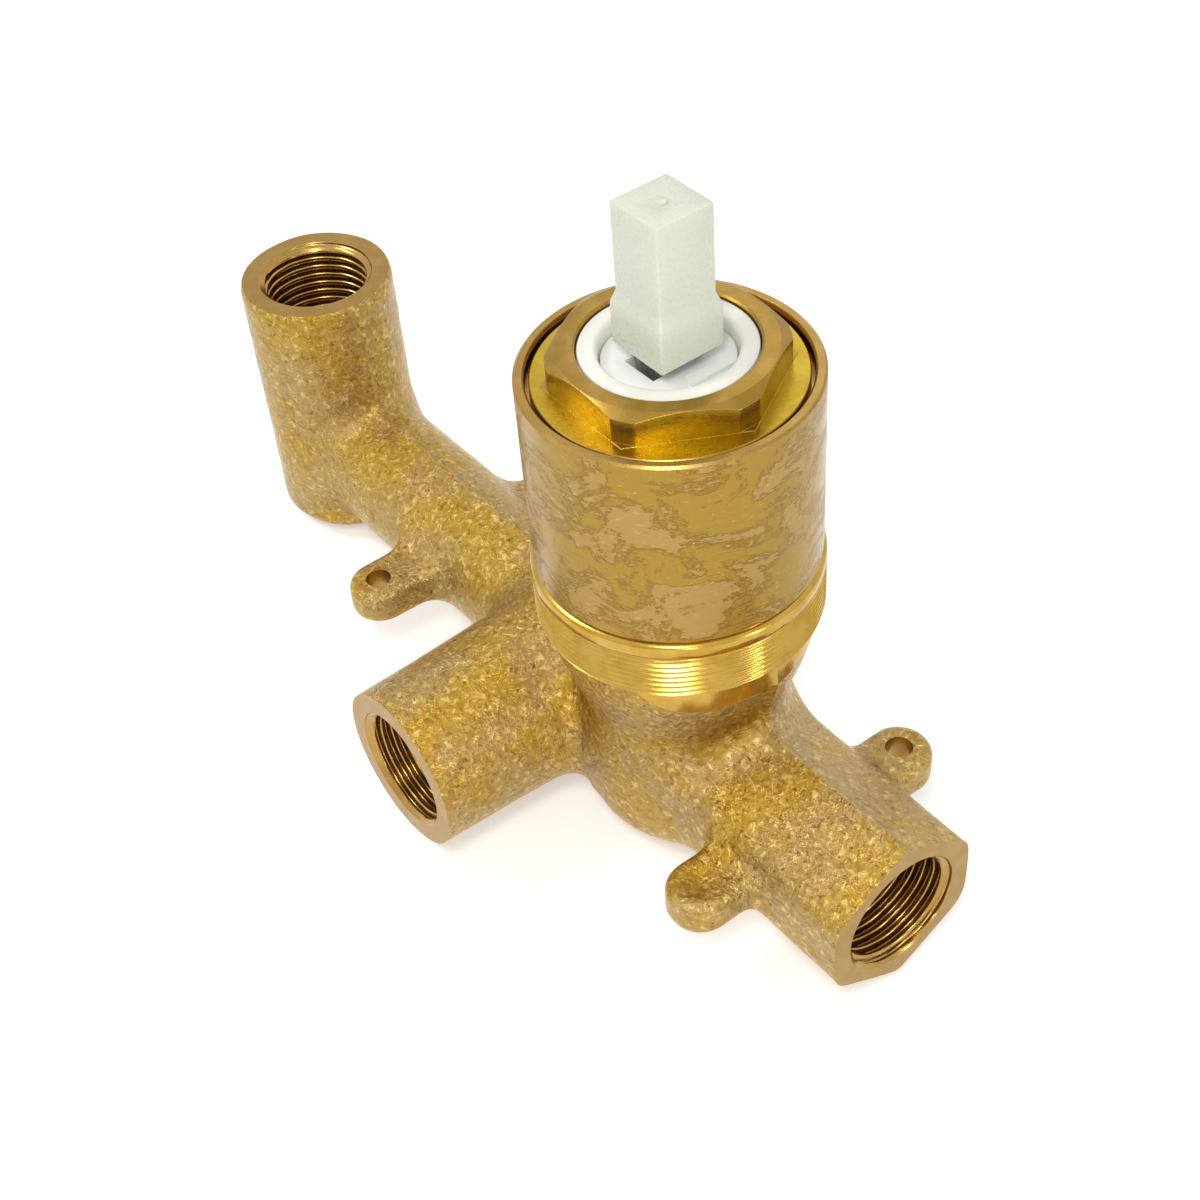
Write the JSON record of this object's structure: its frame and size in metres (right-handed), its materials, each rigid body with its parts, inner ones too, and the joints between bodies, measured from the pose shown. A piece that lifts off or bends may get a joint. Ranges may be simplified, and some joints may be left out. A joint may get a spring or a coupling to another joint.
{
  "type": "concealed basin mixer body",
  "caption": "Brass valve body for a wall-mounted basin mixer, with a single-lever ceramic disc cartridge, threaded ports and fixing lugs.",
  "frame": {"origin": "middle of the bowl's flat back, where the cartridge axis meets it", "axes": "+Z along the cartridge axis towards the stem, +X towards the right inlet, -Y towards the front inlet"},
  "size_m": [0.1713, 0.068, 0.1179],
  "materials": {
    "cast_brass": "cast skin, with turned bright tower and port faces",
    "turned_brass": "turned, satin",
    "white_plastic": "satin",
    "stem_plastic": "satin, slightly translucent",
    "grey_plastic": "satin",
    "ceramic": "lapped ceramic, opaque",
    "rubber": "matt",
    "steel": "ground"
  },
  "bodies": {
    "valve": {"valve_body": "cast_brass", "cartridge_nut": "turned_brass", "cartridge_housing": "white_plastic", "cartridge_base": "grey_plastic", "hot_inlet_seal": "rubber", "cold_inlet_seal": "rubber", "outlet_seal": "rubber", "hot_disc_seal": "rubber", "cold_disc_seal": "rubber", "outlet_disc_seal": "rubber", "fixed_disc": "ceramic", "slide_ring": "white_plastic"},
    "guide": {"lever_guide": "white_plastic", "lever_pin": "steel"},
    "lever": {"cartridge_lever": "steel", "stem_extension": "stem_plastic"},
    "disc": {"moving_disc": "ceramic", "carrier_seal": "rubber", "disc_carrier": "grey_plastic"}
  },
  "joints": [
    {"name": "temperature_turn", "type": "hinge", "parent": "valve", "child": "guide", "pos_m": [0, 0, 0.087], "axis": [0, 0, 1], "range_deg": [-50, 50]},
    {"name": "flow_tilt", "type": "hinge", "parent": "guide", "child": "lever", "pos_m": [0, 0, 0.087], "axis": [1, 0, 0], "range_deg": [-12.5, 12.5]},
    {"name": "disc_slide", "type": "slide", "parent": "guide", "child": "disc", "axis": [0, 1, 0], "range_m": [-0.0029, 0.0029]}
  ],
  "couplings": [
    {"joint": "disc_slide", "follows": "flow_tilt", "m_per_rad": 0.0131}
  ]
}
